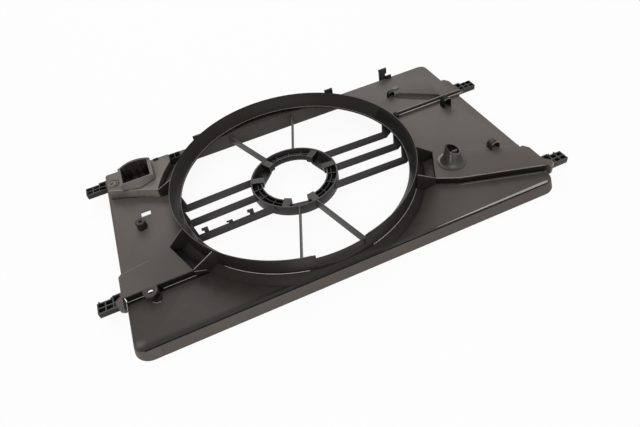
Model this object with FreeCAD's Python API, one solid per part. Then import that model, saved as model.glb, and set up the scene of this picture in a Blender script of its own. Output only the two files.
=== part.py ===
import FreeCAD, Part
import math
import os

# Radiator fan shroud of a passenger car, without its fan and motor.
# Frame in millimetres: +Z towards the fan side, +X along the long side, +Y towards the edge with the hooks.
# The origin lies on the fan axis, in the plane of the skirt rim that seals on the radiator.

# Levels above the sealing rim
DECK_TOP = 29.0
FRONT_TOP = 17.0
PLATFORM_TOP = 45.0
RING_TOP = 58.0
THROAT_TOP = 36.0
THROAT_BOTTOM = 33.0
SPIDER_TOP = 30.0
ARM_DROP = 3.0

# Wall thicknesses
SHEET = 2.5
BLADE = 2.5
RIB = 1.6

# Fan ring
RING_R = 200.0
BELL = 12.5
BEAD = 1.5
NOTCH_DEPTH = 20.0
NOTCH_HALF_WIDTH = 37.0
NOTCH_X = 0.0
COLLAR_RUN = 13.0
COLLAR_LIP = 1.5

# Plan of the panel; places are shares of the ring's radius, so that the panel follows the ring
LEFT_X = -1.49 * RING_R
RIGHT_X = 1.725 * RING_R
BACK_Y = 0.8825 * RING_R
FRONT_Y = -1.005 * RING_R
FRONT_OUT_LEFT = 3.0
FRONT_OUT_RIGHT = 8.0
FRONT_LEFT_X = LEFT_X - FRONT_OUT_LEFT
FRONT_RIGHT_X = RIGHT_X + FRONT_OUT_RIGHT
STEP_Y = -0.565 * RING_R
CORNER_R = 12.0
FRONT_CORNER_R = 15.0
SKIRT_CORNER_R = 25.0
EDGE_ROUND = 4.0
SKIRT_FLARE = 9.5
SKIRT_LEFT_SHARE = 0.41
SKIRT_RIGHT_SHARE = 0.34
SKIRT_STEP = 0.8
SKIRT_CORNER_RUN = 34.0

# Corners of the decks beside the ring, and the right deck's slanted front edge
POCKET_BACK_LEFT = (-1.11 * RING_R, -0.245 * RING_R)
POCKET_FRONT_LEFT_X = -0.99 * RING_R
POCKET_BACK_RIGHT = (1.11 * RING_R, -0.315 * RING_R)
POCKET_FRONT_RIGHT = (0.965 * RING_R, -0.605 * RING_R)
STEP_BEND_RIGHT = (1.125 * RING_R, -0.695 * RING_R)
STEP_END_RIGHT = (FRONT_RIGHT_X, -0.905 * RING_R)

# Motor mount in the middle
HUB_R = 73.0
HUB_WIDTH = 19.0
HUB_OPENING_R = HUB_R - HUB_WIDTH
HUB_HEIGHT = 18.0
HUB_FLOOR_DROP = 9.5
HUB_RIB_FROM_RIM = 12.0
HUB_RIB_R = HUB_R - HUB_RIB_FROM_RIM
EAR_FROM_RIM = 9.0
EAR_PITCH_R = HUB_R - EAR_FROM_RIM
EAR_HOLE_R = 2.75
EAR_COUNT = 3
EAR_ANGLE = 19.0
EAR_HALF_WIDTH = 18.0
EAR_DROP = 13.0
BLOCK_LENGTH = 12.0
BLOCK_REACH = 2.5
BLOCK_DROP = 1.0
PAD_REACH = 22.0

# Spokes and cross bars
ARM_HEIGHT = 15.5
SPOKE_ANGLES = ((72.0, 71.0), (112.0, 111.0), (256.5, 252.4), (279.2, 284.7))
BAR_PITCH = 38.5
BAR_MIDDLE_Y = -8.0
BAR_RUN = 8.0
BAR_DROP = 9.0
KINK_FROM_RING = 17.0
KINK_TOP_ANGLES = (78.0, 64.0)
KINK_FOOT_ANGLES = (20.0, 34.0)

# Platform at the back left, with the resistor housing
PLATFORM_LEFT_X = -1.46 * RING_R
PLATFORM_RIGHT_X = -0.905 * RING_R
PLATFORM_BACK_Y = 0.78 * RING_R
PLATFORM_FRONT_LEFT_Y = 0.56 * RING_R
PLATFORM_BEND = (-1.15 * RING_R, 0.4 * RING_R)
PLATFORM_CORNER = (-1.06 * RING_R, 0.34 * RING_R)
MOAT = 0.125 * RING_R
HOUSING_WIDTH = 56.0
HOUSING_X = -1.2 * RING_R
HOUSING_BACK_GAP = 8.0
HOUSING_DEPTH = 48.0
HOUSING_FRONT_Y = PLATFORM_BACK_Y - HOUSING_BACK_GAP - HOUSING_DEPTH
HOUSING_RISE = 11.0
HOUSING_ARCH = 7.0
HOUSING_SINK = 14.0
HOUSING_WALL_LEFT = 4.0
HOUSING_WALL_RIGHT = 5.5
APRON = 10.5
SCREW_EAR = (PLATFORM_LEFT_X + 8.0, 0.63 * RING_R)
SCREW_EAR_R = 8.0
SCREW_EAR_HOLE_R = 2.25

# Side tabs that slide into the radiator tanks
TAB_REACH_LEFT = 36.0
TAB_REACH_RIGHT = 43.0
TAB_END_LEFT = LEFT_X - TAB_REACH_LEFT
TAB_END_RIGHT = RIGHT_X + TAB_REACH_RIGHT
TAB_EXTRA_LEFT_FRONT = 2.5
TAB_WIDTH = 19.0
TAB_THICK = 10.0
TAB_SHOULDER = 4.0
TAB_LEFT_FRONT_Y = STEP_Y - 2.0
TAB_LEFT_BACK_Y = 0.76 * RING_R
TAB_RIGHT_FRONT_Y = STEP_END_RIGHT[1] + 7.0
TAB_RIGHT_BACK_Y = 0.355 * RING_R
EAR_OUT_LEFT = 4.5
EAR_OUT_RIGHT = 11.0
EAR_MARGIN = 14.0
EAR_REACH_LEFT = 46.0
EAR_REACH_RIGHT_FRONT = 49.0
EAR_REACH_RIGHT_BACK = 38.0
EAR_SLOPE = 9.0
EAR_CORNER_LEFT = 5.0
SOCKET_DROP = 3.0
SOCKET_LENGTH = 21.0
SOCKET_WIDTH = 16.0
SOCKET_OVERHANG = 2.0
GUSSET_R = 10.5
GUSSET_SHIFT = 3.5

# Latch hooks on the back wall
HOOK_XS = (-0.61 * RING_R, 0.705 * RING_R, 1.285 * RING_R)
HOOK_WIDTHS = (9.0, 9.0, 13.0)
HOOK_TOPS = (46.0, 46.5, 49.5)
HOOK_HEAD = 16.0
HOOK_THICK = 3.2
HOOK_ROOT_Z = 14.0
HOOK_HEAD_HEIGHT = 12.0
HOOK_SET_BACK = 2.5
HOOK_GAP = 0.3
HOOK_BARB = 2.4
HOOK_LEDGE = 3.0
STOP_LENGTH = 12.0
STOP_DEPTH = 4.0
STOP_HEIGHT = 6.5
STOP_OVERLAP = 5.0

# Fittings on the decks
SLOT_CENTRE = (-1.22 * RING_R, 0.215 * RING_R)
SLOT_LENGTH = 15.5
SLOT_WIDTH = 11.0
BOSS_CENTRE = (-1.265 * RING_R, 0.06 * RING_R)
BOSS_R = 8.0
BOSS_HEIGHT = 14.0
BOSS_HOLE_R = 2.3
BOSS_HOLE_DEPTH = 11.0
LUG_FROM_LEFT = 35.5
LUG_FROM_STEP = 7.0
LUG_CENTRE = (LEFT_X + LUG_FROM_LEFT, STEP_Y - LUG_FROM_STEP)
LUG_R = 10.5
LUG_HOLE_R = 4.0
SPOUT_CENTRE = (1.175 * RING_R, -0.5 * RING_R)
SPOUT_BASE_R = 21.0
SPOUT_WAIST_R = 14.2
SPOUT_WAIST_HEIGHT = 11.0
SPOUT_CURVE = ((0.0, 0.0), (0.42, 0.17), (0.75, 0.46), (1.0, 1.0))
SPOUT_TOP_R = 10.0
SPOUT_HEIGHT = 37.0
SPOUT_FLANGE = 1.5
SPOUT_MOUTH_HEIGHT = 25.5
SPOUT_MOUTH_TILT = 22.0
SPOUT_MOUTH_FACES = 328.0
GROOVE_START = (1.275 * RING_R, 0.54 * RING_R)
GROOVE_END = (1.54 * RING_R, 0.3375 * RING_R)
GROOVE_R = 8.5
GROOVE_WALL = 1.8
DUCT_RIB_YS = (0.25 * RING_R, 0.2975 * RING_R)
DUCT_HEIGHT = 4.0
DUCT_START_X = 1.11 * RING_R
INNER_CLIP = (1.2 * RING_R, 0.575 * RING_R)
INNER_CLIP_SIZE = (13.0, 7.0, 12.0)
OUTER_CLIP = (1.5375 * RING_R, 0.17 * RING_R)
OUTER_CLIP_SIZE = (14.5, 14.0, 19.0)
SMALL_CLIP = (1.545 * RING_R, -0.52 * RING_R)
SMALL_CLIP_SIZE = (16.0, 13.0, 13.5)
WIRE_CLIP_XS = (-0.815 * RING_R, -0.62 * RING_R, -0.445 * RING_R)
WIRE_CLIP_WIDTH = 9.0
WIRE_CLIP_HEIGHTS = (9.0, 3.5, 9.0)

DECK_HOLE_R = RING_R - SHEET
THROAT_R = RING_R - BELL
BIG = 1200.0


def point(x, y, z=0.0):
    return FreeCAD.Vector(x, y, z)


def box(x0, x1, y0, y1, z0, z1):
    return Part.makeBox(x1 - x0, y1 - y0, z1 - z0, point(x0, y0, z0))


def disc(radius, z0, z1, centre=(0.0, 0.0)):
    return Part.makeCylinder(radius, z1 - z0, point(centre[0], centre[1], z0))


def tube(inner, outer, z0, z1, centre=(0.0, 0.0)):
    return disc(outer, z0, z1, centre).cut(disc(inner, z0 - 1.0, z1 + 1.0, centre))


def outline(points, z=0.0):
    corners = [point(x, y, z) for x, y in points]
    return Part.makePolygon(corners + [corners[0]])


def prism(points, z0, z1):
    return Part.Face(outline(points, z0)).extrude(point(0, 0, z1 - z0))


def fused(shapes):
    whole = shapes[0]
    for shape in shapes[1:]:
        whole = whole.fuse(shape)
    return whole.removeSplitter()


def polar(radius, degrees):
    return (radius * math.cos(math.radians(degrees)), radius * math.sin(math.radians(degrees)))


def turned_box(centre, degrees, length, width, z0, z1):
    """Box of the given length across the angle and width along it, with its middle at the centre."""
    body = box(-width / 2, width / 2, -length / 2, length / 2, z0, z1)
    body.rotate(point(0, 0, 0), point(0, 0, 1), degrees)
    body.translate(point(centre[0], centre[1], 0))
    return body


def along(start, end, thickness, profile):
    """Upright plate from start to end: profile lists (share of the length, height)."""
    run = point(end[0] - start[0], end[1] - start[1])
    side = point(-run.y, run.x).normalize() * thickness
    base = point(start[0], start[1]) - side * 0.5
    corners = [base + run * share + point(0, 0, height) for share, height in profile]
    return Part.Face(Part.makePolygon(corners + [corners[0]])).extrude(side)


def shifted_line(points, distance):
    """The same open line of points, moved to its left by the distance, with mitred corners."""
    normals = []
    for (x0, y0), (x1, y1) in zip(points, points[1:]):
        size = math.hypot(x1 - x0, y1 - y0)
        normals.append((-(y1 - y0) / size, (x1 - x0) / size))
    moved = []
    for i, (x, y) in enumerate(points):
        ax, ay = normals[max(i - 1, 0)]
        bx, by = normals[min(i, len(normals) - 1)]
        stretch = distance / (1.0 + ax * bx + ay * by)
        moved.append((x + (ax + bx) * stretch, y + (ay + by) * stretch))
    return moved


def wall(points, distance, z0, z1):
    """Upright wall on the left of a line of points, or on its right for a negative distance."""
    return prism(points + shifted_line(points, distance)[::-1], z0, z1)


def rounded(points, radius, z0, z1):
    """Prism with every upright edge rounded."""
    body = prism(points, z0, z1)
    upright = [e for e in body.Edges if abs(e.Vertexes[0].Z - e.Vertexes[-1].Z) > (z1 - z0) / 2]
    return body.makeFillet(radius, upright)


def rectangle(x0, x1, y0, y1):
    return [(x0, y0), (x1, y0), (x1, y1), (x0, y1)]


# Lines that the decks, the step walls and the front deck share, from the panel's side to inside the ring


def left_step_line():
    return [
        (LEFT_X - EAR_OUT_LEFT, STEP_Y),
        (POCKET_FRONT_LEFT_X, STEP_Y),
        POCKET_BACK_LEFT,
        (-RING_R * 0.8, POCKET_BACK_LEFT[1]),
    ]


def right_step_line():
    return [
        (RIGHT_X + EAR_OUT_RIGHT, STEP_END_RIGHT[1]),
        STEP_END_RIGHT,
        STEP_BEND_RIGHT,
        POCKET_FRONT_RIGHT,
        POCKET_BACK_RIGHT,
        (RING_R * 0.8, POCKET_BACK_RIGHT[1]),
    ]


def front_region():
    """Everything in front of the step walls, their thickness included."""
    left = shifted_line(left_step_line(), SHEET)
    right = shifted_line(right_step_line(), -SHEET)
    edge = [(-BIG, -BIG), (BIG, -BIG), (BIG, right[0][1])] + right + [(0.0, right[-1][1])]
    return prism(edge + [(0.0, left[-1][1])] + left[::-1] + [(-BIG, left[0][1])], -1.0, BIG)


def ring_bore(z0, z1):
    return disc(DECK_HOLE_R, z0 - 1.0, z1 + 1.0)


# Fan ring: a hanging outer wall, a funnel-shaped mouth and a short throat, lower at the notch


def ring_section():
    """Closed outline, in the XZ plane, of the inverted U that is turned round the axis."""
    rise = RING_TOP - THROAT_TOP
    thick = SHEET * math.hypot(BELL, rise) / BELL
    step = SHEET * rise / BELL
    section = [
        point(RING_R, 0, DECK_TOP),
        point(RING_R, 0, RING_TOP),
        point(THROAT_R, 0, THROAT_TOP),
        point(THROAT_R, 0, THROAT_BOTTOM),
        point(THROAT_R + SHEET, 0, THROAT_BOTTOM),
        point(THROAT_R + SHEET, 0, THROAT_TOP + step - thick),
        point(RING_R - SHEET, 0, RING_TOP - step - thick),
        point(RING_R - SHEET, 0, DECK_TOP),
    ]
    return Part.Face(Part.makePolygon(section + [section[0]]))


def fan_ring():
    body = ring_section().revolve(point(0, 0, 0), point(0, 0, 1), 360)
    low = RING_TOP - NOTCH_DEPTH
    left = NOTCH_X - NOTCH_HALF_WIDTH
    right = NOTCH_X + NOTCH_HALF_WIDTH
    body = body.cut(box(left, right, -BIG, 0, low, RING_TOP + 1))
    outline = [
        point(THROAT_R, 0, low - SHEET),
        point(RING_R, 0, low - SHEET),
        point(RING_R, 0, RING_TOP),
        point(THROAT_R, 0, THROAT_TOP),
    ]
    full = Part.Face(Part.makePolygon(outline + [outline[0]])).revolve(point(0, 0, 0), point(0, 0, 1), 360)
    parts = [
        full.common(box(left, right, -BIG, 0, 0, low)),
        full.common(box(left - SHEET, left, -BIG, 0, 0, BIG)),
        full.common(box(right, right + SHEET, -BIG, 0, 0, BIG)),
    ]
    body = fused([body] + parts)
    bead = tube(RING_R - 0.2, RING_R + BEAD, DECK_TOP, DECK_TOP + BEAD)
    front = prism([(0, 0), polar(BIG, 217), polar(BIG, 257), (0, 0.01)], 0, BIG)
    side = prism([(0, 0), polar(BIG, 282), polar(BIG, 321), (0, 0.01)], 0, BIG)
    return fused([body, bead.common(front.fuse(side))])


def ring_collar():
    """Sloping band that carries the front of the ring and runs down to the front deck."""
    section = [
        point(DECK_HOLE_R, 0, FRONT_TOP),
        point(RING_R + COLLAR_RUN, 0, FRONT_TOP),
        point(RING_R + COLLAR_LIP, 0, DECK_TOP),
        point(DECK_HOLE_R, 0, DECK_TOP),
    ]
    band = Part.Face(Part.makePolygon(section + [section[0]])).revolve(point(0, 0, 0), point(0, 0, 1), 360)
    band = band.common(box(-BIG, BIG, FRONT_Y + 0.5, 0, 0, BIG))
    for line, far in ((left_step_line(), -BIG), (right_step_line(), BIG)):
        behind = [(0.0, line[-1][1]), (0.0, BACK_Y), (far, BACK_Y), (far, line[0][1])]
        band = band.cut(prism(line[1:] + behind, 0, BIG))
    return band


# Decks: the flat sheets of the panel at three levels


def left_deck():
    line = left_step_line()
    plan = [(LEFT_X, STEP_Y)] + line[1:] + [(0.0, POCKET_BACK_LEFT[1]), (0.0, BACK_Y), (LEFT_X, BACK_Y)]
    deck = prism(plan, DECK_TOP - SHEET, DECK_TOP)
    out = LEFT_X - EAR_OUT_LEFT
    ear_top = STEP_Y + EAR_REACH_LEFT
    ear = [(out, STEP_Y), (LEFT_X, STEP_Y), (LEFT_X, ear_top), (out, ear_top - EAR_CORNER_LEFT)]
    deck = fused([deck, prism(ear, DECK_TOP - SHEET, DECK_TOP)])
    slot = rectangle(-SLOT_LENGTH / 2, SLOT_LENGTH / 2, -SLOT_WIDTH / 2, SLOT_WIDTH / 2)
    window = prism(slot, 0, BIG)
    window.translate(point(SLOT_CENTRE[0], SLOT_CENTRE[1]))
    inside = platform_plan(-SHEET).common(box(-BIG, BIG, -BIG, BIG, 0, DECK_TOP + 1))
    return deck.cut(window).cut(ring_bore(0, DECK_TOP)).cut(inside)


def right_ear(low_y, high_y):
    """Corners, going back along the right side, of the deck's ear that carries a tab."""
    out = RIGHT_X + EAR_OUT_RIGHT
    return [(out, low_y), (out, high_y - EAR_SLOPE), (RIGHT_X + EAR_OUT_RIGHT / 2, high_y), (RIGHT_X, high_y)]


def right_deck():
    line = right_step_line()
    front_ear = right_ear(line[0][1], TAB_RIGHT_FRONT_Y + EAR_REACH_RIGHT_FRONT)
    back_ear = right_ear(TAB_RIGHT_BACK_Y - EAR_MARGIN, TAB_RIGHT_BACK_Y + EAR_REACH_RIGHT_BACK)
    sides = front_ear + [(RIGHT_X, back_ear[0][1] - EAR_SLOPE)] + back_ear
    plan = line[:0:-1] + sides + [(RIGHT_X, BACK_Y), (0.0, BACK_Y), (0.0, POCKET_BACK_RIGHT[1])]
    deck = prism(plan, DECK_TOP - SHEET, DECK_TOP)
    spot = point(RIGHT_X, BACK_Y, DECK_TOP - SHEET / 2)
    corner = [e for e in deck.Edges if e.CenterOfMass.distanceToPoint(spot) < 0.1]
    deck = deck.makeFillet(CORNER_R, corner).cut(ring_bore(0, DECK_TOP))
    return deck.cut(groove_half(GROOVE_R + GROOVE_WALL))


def front_deck():
    """Lower sheet along the front, with a rounded edge, whose wings are the floors of the pockets."""
    plan = rectangle(FRONT_LEFT_X, FRONT_RIGHT_X, FRONT_Y, 0)
    body = rounded(plan, FRONT_CORNER_R, FRONT_TOP - EDGE_ROUND, FRONT_TOP)
    body = body.common(box(-BIG, BIG, -BIG, -FRONT_CORNER_R - 1, 0, BIG))
    rim = [
        e
        for e in body.Edges
        if abs(e.BoundBox.ZMin - FRONT_TOP) < 0.01 and abs(e.BoundBox.ZMax - FRONT_TOP) < 0.01
        and e.BoundBox.YMin < -FRONT_CORNER_R - 2
    ]
    body = body.makeFillet(EDGE_ROUND - 0.01, rim)
    hollow = rectangle(FRONT_LEFT_X + SHEET, FRONT_RIGHT_X - SHEET, FRONT_Y + SHEET, BIG)
    body = body.cut(rounded(hollow, FRONT_CORNER_R - SHEET, 0, FRONT_TOP - SHEET))
    return body.common(front_region()).cut(ring_bore(0, FRONT_TOP))


# Walls between and below the decks


def left_step():
    line = left_step_line()
    line[0] = (FRONT_LEFT_X + SHEET, line[0][1])
    body = wall(line, SHEET, FRONT_TOP, DECK_TOP - SHEET).cut(disc(RING_R, 0, BIG))
    half = LUG_R - SHEET
    x = LUG_CENTRE[0]
    return body.cut(box(x - half, x + half, STEP_Y - 1, STEP_Y + SHEET + 1, FRONT_TOP, BIG))


def right_step():
    body = wall(right_step_line(), -SHEET, FRONT_TOP, DECK_TOP - SHEET)
    return body.cut(disc(RING_R, 0, BIG)).common(box(0, FRONT_RIGHT_X - SHEET, -BIG, BIG, 0, BIG))


def front_skirt(x0, x1):
    """Flared rim round the front of the panel, from x0 to x1, that reaches down to the radiator."""
    top = FRONT_TOP - EDGE_ROUND

    def shell(inset):
        wires = []
        for z, grow, radius in ((0.0, SKIRT_FLARE, SKIRT_CORNER_R), (top, SKIRT_STEP, FRONT_CORNER_R)):
            plan = rectangle(
                FRONT_LEFT_X - grow * SKIRT_LEFT_SHARE + inset,
                FRONT_RIGHT_X + grow * SKIRT_RIGHT_SHARE - inset,
                FRONT_Y - grow + inset,
                BACK_Y,
            )
            solid = rounded(plan, radius - inset, z, z + 1.0)
            low = min(solid.Faces, key=lambda f: f.CenterOfMass.z)
            wires.append(low.OuterWire)
        return Part.makeLoft(wires, True, True)

    body = shell(0.0).cut(shell(SHEET))
    return body.common(box(x0, x1, -BIG, 0, 0, top)).common(front_region())


def back_wall():
    """Rear wall with the shelf that closes the ring behind it and a ledge under each hook."""
    outer_y = BACK_Y
    inner_y = BACK_Y - SHEET
    body = box(LEFT_X, RIGHT_X - CORNER_R, inner_y, outer_y, 0, DECK_TOP - SHEET)
    reach = math.sqrt(DECK_HOLE_R ** 2 - BACK_Y ** 2) - HOOK_GAP
    shelf = disc(RING_R, DECK_TOP - SHEET, DECK_TOP).common(box(-reach, reach, outer_y, BIG, 0, BIG))
    parts = [body, box(-reach, reach, inner_y, outer_y, 0, DECK_TOP), shelf]
    for x, width in zip(HOOK_XS, HOOK_WIDTHS):
        x0 = x - HOOK_HEAD / 2 - HOOK_LEDGE
        x1 = x - HOOK_HEAD / 2 + width + HOOK_LEDGE
        reach = HOOK_SET_BACK + HOOK_THICK + 1.0
        parts.append(box(x0, x1, outer_y, outer_y + reach, HOOK_ROOT_Z - HOOK_LEDGE, HOOK_ROOT_Z))
    return fused(parts)


def left_wall():
    body = box(LEFT_X, LEFT_X + SHEET, FRONT_Y, BACK_Y - SHEET, 0, DECK_TOP - SHEET)
    return body.cut(front_region())


def right_wall():
    corner = tube(CORNER_R - SHEET, CORNER_R, 0, DECK_TOP - SHEET, (RIGHT_X - CORNER_R, BACK_Y - CORNER_R))
    corner = corner.common(box(RIGHT_X - CORNER_R, BIG, BACK_Y - CORNER_R, BIG, 0, BIG))
    straight = box(RIGHT_X - SHEET, RIGHT_X, FRONT_Y, BACK_Y - CORNER_R, 0, DECK_TOP - SHEET)
    return fused([straight.cut(front_region()), corner])


# Webs that stiffen the ring against the decks; their tops slope from the rim down to the deck


def web(start, end, bottom, top, level):
    profile = [(0.0, bottom), (1.0, bottom), (1.0, level), (0.0, top)]
    return along(start, end, RIB, profile).cut(disc(RING_R, 0, BIG))


def pocket_web(start, end):
    return web(start, end, FRONT_TOP, RING_TOP - 1, DECK_TOP)


def left_pocket_webs():
    back_y = POCKET_BACK_LEFT[1] - RIB
    inner = (-RING_R * 0.8, STEP_Y - 6.0)
    back = pocket_web((-RING_R * 0.96, back_y - 2.0), (POCKET_BACK_LEFT[0], back_y))
    front = pocket_web(inner, (POCKET_FRONT_LEFT_X, STEP_Y))
    behind = [(0, POCKET_BACK_LEFT[1]), (0, -BIG), (POCKET_FRONT_LEFT_X, -BIG)]
    keep = prism(left_step_line()[1:] + behind, 0, BIG)
    return [back.common(keep).cut(ring_collar()), front.common(keep).cut(ring_collar())]


def right_pocket_webs():
    x, y = POCKET_BACK_RIGHT
    back = pocket_web((RING_R * 0.94, y - RIB - 3.0), (x, y - RIB))
    front = pocket_web((RING_R * 0.78, POCKET_FRONT_RIGHT[1] - 6), POCKET_FRONT_RIGHT)
    behind = [(0, y), (0, -BIG), (POCKET_FRONT_RIGHT[0], -BIG)]
    keep = prism(right_step_line()[3:] + behind, 0, BIG)
    return [back.common(keep).cut(ring_collar()), front.common(keep).cut(ring_collar())]


def platform_web():
    x, y = PLATFORM_CORNER
    y = y + RIB
    start = (-math.sqrt(RING_R ** 2 - y ** 2) + 2.0, y)
    body = web(start, (x, y), DECK_TOP, RING_TOP - 1, PLATFORM_TOP)
    return body.cut(platform_plan(0.0))


# Platform and housing at the back left


def platform_plan(grow):
    """Column over the platform's plan, larger or smaller all round by the given amount."""
    x, y = PLATFORM_CORNER
    plan = [
        (PLATFORM_LEFT_X, PLATFORM_FRONT_LEFT_Y),
        PLATFORM_BEND,
        (x, y),
        (PLATFORM_RIGHT_X, y),
        (PLATFORM_RIGHT_X, PLATFORM_BACK_Y),
        (PLATFORM_LEFT_X, PLATFORM_BACK_Y),
    ]
    moat = Part.Wire(Part.makeCircle(RING_R + MOAT, point(0, 0, -1.0)))
    face = Part.Face(outline(plan, -1.0)).cut(Part.Face(moat)).Faces[0]
    if grow:
        face = face.makeOffset2D(grow)
    return face.extrude(point(0, 0, PLATFORM_TOP + 1.0))


def housing_plan():
    half = HOUSING_WIDTH / 2
    front = HOUSING_FRONT_Y
    return rectangle(HOUSING_X - half, HOUSING_X + half, front, front + HOUSING_DEPTH)


def platform():
    body = platform_plan(0.0).common(box(-BIG, BIG, -BIG, BIG, DECK_TOP, BIG))
    inside = platform_plan(-SHEET).common(box(-BIG, BIG, -BIG, BIG, 0, PLATFORM_TOP - SHEET))
    body = body.cut(inside).cut(prism(housing_plan(), 0, BIG))
    return body.cut(disc(SCREW_EAR_HOLE_R, 0, BIG, SCREW_EAR))


def resistor_housing():
    """Open well with a sloping front apron and a back wall that arches above the rim."""
    half = HOUSING_WIDTH / 2
    x0 = HOUSING_X - half
    x1 = HOUSING_X + half
    y0 = HOUSING_FRONT_Y
    y1 = y0 + HOUSING_DEPTH
    bottom = PLATFORM_TOP - HOUSING_SINK
    rim = PLATFORM_TOP + HOUSING_RISE
    body = prism(housing_plan(), bottom, rim)
    base = [(x0, y0 - APRON * 0.15), (HOUSING_X, y0 - APRON), (x1, y0 + 1.0), (x1, y1), (x0, y1)]
    head = [(x0, y0), (HOUSING_X, y0), (x1, y0 + 0.5), (x1, y1), (x0, y1)]
    apron = Part.makeLoft([outline(base, PLATFORM_TOP), outline(head, rim)], True, True)
    footprint = platform_plan(0.0)
    footprint.translate(point(0, 0, PLATFORM_TOP))
    body = fused([body, apron.common(footprint)])
    left_top = point(x0, y1, rim - 2.0)
    crown = point(HOUSING_X, y1, rim + HOUSING_ARCH)
    right_top = point(x1, y1, rim + 1.0)
    arch = [
        Part.makeLine(point(x0, y1, PLATFORM_TOP), left_top),
        Part.Arc(left_top, crown, right_top).toShape(),
        Part.makeLine(right_top, point(x1, y1, PLATFORM_TOP)),
        Part.makeLine(point(x1, y1, PLATFORM_TOP), point(x0, y1, PLATFORM_TOP)),
    ]
    hood = Part.Face(Part.Wire(arch)).extrude(point(0, -SHEET, 0))
    body = fused([body, hood])
    well = box(x0 + HOUSING_WALL_LEFT, x1 - HOUSING_WALL_RIGHT, y0 + SHEET, y1 - SHEET, bottom + SHEET, BIG)
    return body.cut(well)


def housing_ribs():
    """Partition and two contact posts that stand on the floor of the well."""
    floor = PLATFORM_TOP - HOUSING_SINK + SHEET
    back = HOUSING_FRONT_Y + HOUSING_DEPTH - SHEET
    front = HOUSING_FRONT_Y + SHEET
    x = HOUSING_X
    plate = box(x - RIB / 2, x + RIB / 2, front, back, floor, PLATFORM_TOP)
    reach = HOUSING_WIDTH / 4
    top = PLATFORM_TOP + 4
    posts = [box(px - 3, px + 3, back - 8, back, floor, top) for px in (x - reach, x + reach)]
    return [plate] + posts


def screw_ear():
    return tube(SCREW_EAR_HOLE_R, SCREW_EAR_R, PLATFORM_TOP, PLATFORM_TOP + RIB, SCREW_EAR)


def edge_socket():
    """Two square cells with a divider, at the back edge between the platform and the ring."""
    x0 = PLATFORM_RIGHT_X
    x1 = x0 + SOCKET_LENGTH
    y1 = PLATFORM_BACK_Y + SOCKET_OVERHANG
    y0 = y1 - SOCKET_WIDTH
    top = PLATFORM_TOP - SOCKET_DROP
    body = box(x0, x1, y0, y1, DECK_TOP, top)
    middle = (x0 + x1) / 2
    for a, b in ((x0 + RIB, middle - RIB / 2), (middle + RIB / 2, x1 - RIB)):
        body = body.cut(box(a, b, y0 + RIB, y1 - RIB, DECK_TOP + RIB, top + 1))
    return body.cut(disc(RING_R, 0, BIG))


# Motor mount


def ear_angles():
    return [EAR_ANGLE + 360.0 * i / EAR_COUNT for i in range(EAR_COUNT)]


def hub_cells():
    """Angles of the stiffening ribs between the ears."""
    step = 360.0 / EAR_COUNT / 6
    return [a + step * k for a in ear_angles() for k in (2, 3, 4)]


def motor_mount():
    bottom = SPIDER_TOP - HUB_HEIGHT
    floor_top = SPIDER_TOP - HUB_FLOOR_DROP
    outer = tube(HUB_R - SHEET, HUB_R, bottom, SPIDER_TOP)
    floor = tube(HUB_OPENING_R, HUB_R - SHEET, floor_top - SHEET, floor_top)
    lip = tube(HUB_OPENING_R, HUB_OPENING_R + SHEET, floor_top, SPIDER_TOP - 2 * BLOCK_DROP)
    ring_rib = tube(HUB_RIB_R, HUB_RIB_R + RIB, floor_top, SPIDER_TOP - 4.0)
    body = fused([outer, floor, lip, ring_rib])
    for angle in hub_cells():
        middle = polar((HUB_OPENING_R + HUB_R) / 2, angle)
        rib = turned_box(middle, angle, RIB, HUB_R - HUB_OPENING_R - SHEET, floor_top, SPIDER_TOP - 3.0)
        body = body.fuse(rib.common(tube(HUB_OPENING_R, HUB_R, 0, BIG)))
    ring = tube(HUB_OPENING_R - BLOCK_REACH, HUB_R - SHEET, 0, BIG)
    ear_top = SPIDER_TOP - EAR_DROP
    for angle in ear_angles():
        width = 2 * EAR_HALF_WIDTH
        recess = turned_box(polar(EAR_PITCH_R, angle), angle, width, 2 * width, ear_top, BIG)
        body = body.cut(recess.common(ring))
        pad = turned_box(polar(HUB_R - PAD_REACH / 2, angle), angle, width, PAD_REACH, bottom, ear_top)
        body = body.fuse(pad.common(tube(0.1, HUB_R - SHEET, 0, BIG)))
        for side in (-1, 1):
            across = side * (EAR_HALF_WIDTH + BLOCK_LENGTH / 2)
            turn = math.degrees(math.atan2(across, EAR_PITCH_R))
            middle = polar(EAR_PITCH_R - 1.0, angle + turn)
            depth = HUB_R - HUB_OPENING_R + 2 * BLOCK_REACH
            block = turned_box(middle, angle + turn, BLOCK_LENGTH, depth, ear_top, SPIDER_TOP - BLOCK_DROP)
            body = body.fuse(block.common(ring))
    for angle in ear_angles():
        body = body.cut(disc(EAR_HOLE_R, 0, BIG, polar(EAR_PITCH_R, angle)))
    return body.removeSplitter()


# Spokes and bars between the motor mount and the panel


def arm_profile():
    low = SPIDER_TOP - ARM_HEIGHT
    return [(0.0, low), (1.0, low - ARM_DROP), (1.0, SPIDER_TOP - ARM_DROP), (0.0, SPIDER_TOP)]


def arm(start, end):
    body = along(start, end, BLADE, arm_profile())
    return body.cut(disc(HUB_R, 0, BIG)).cut(tube(DECK_HOLE_R, BIG, 0, BIG))


def spoke(at_hub, at_ring):
    body = arm(polar(HUB_R - 2, at_hub), polar(DECK_HOLE_R + 4, at_ring))
    return body.common(box(-BIG, BIG, -BIG, BACK_Y - SHEET, 0, BIG))


def blade_section(top, foot, run, stretch=1.0):
    """Closed quad across a tilted blade that runs along the given direction."""
    side = run.cross(foot - top).normalize() * (BLADE / 2 * stretch)
    return Part.makePolygon([top + side, top - side, foot - side, foot + side, top + side])


def bar_start(y):
    """Distance from the middle at which a bar begins, safely inside the motor mount's rim."""
    return math.sqrt((HUB_R - 2.0) ** 2 - (abs(y) + BAR_RUN) ** 2)


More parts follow.
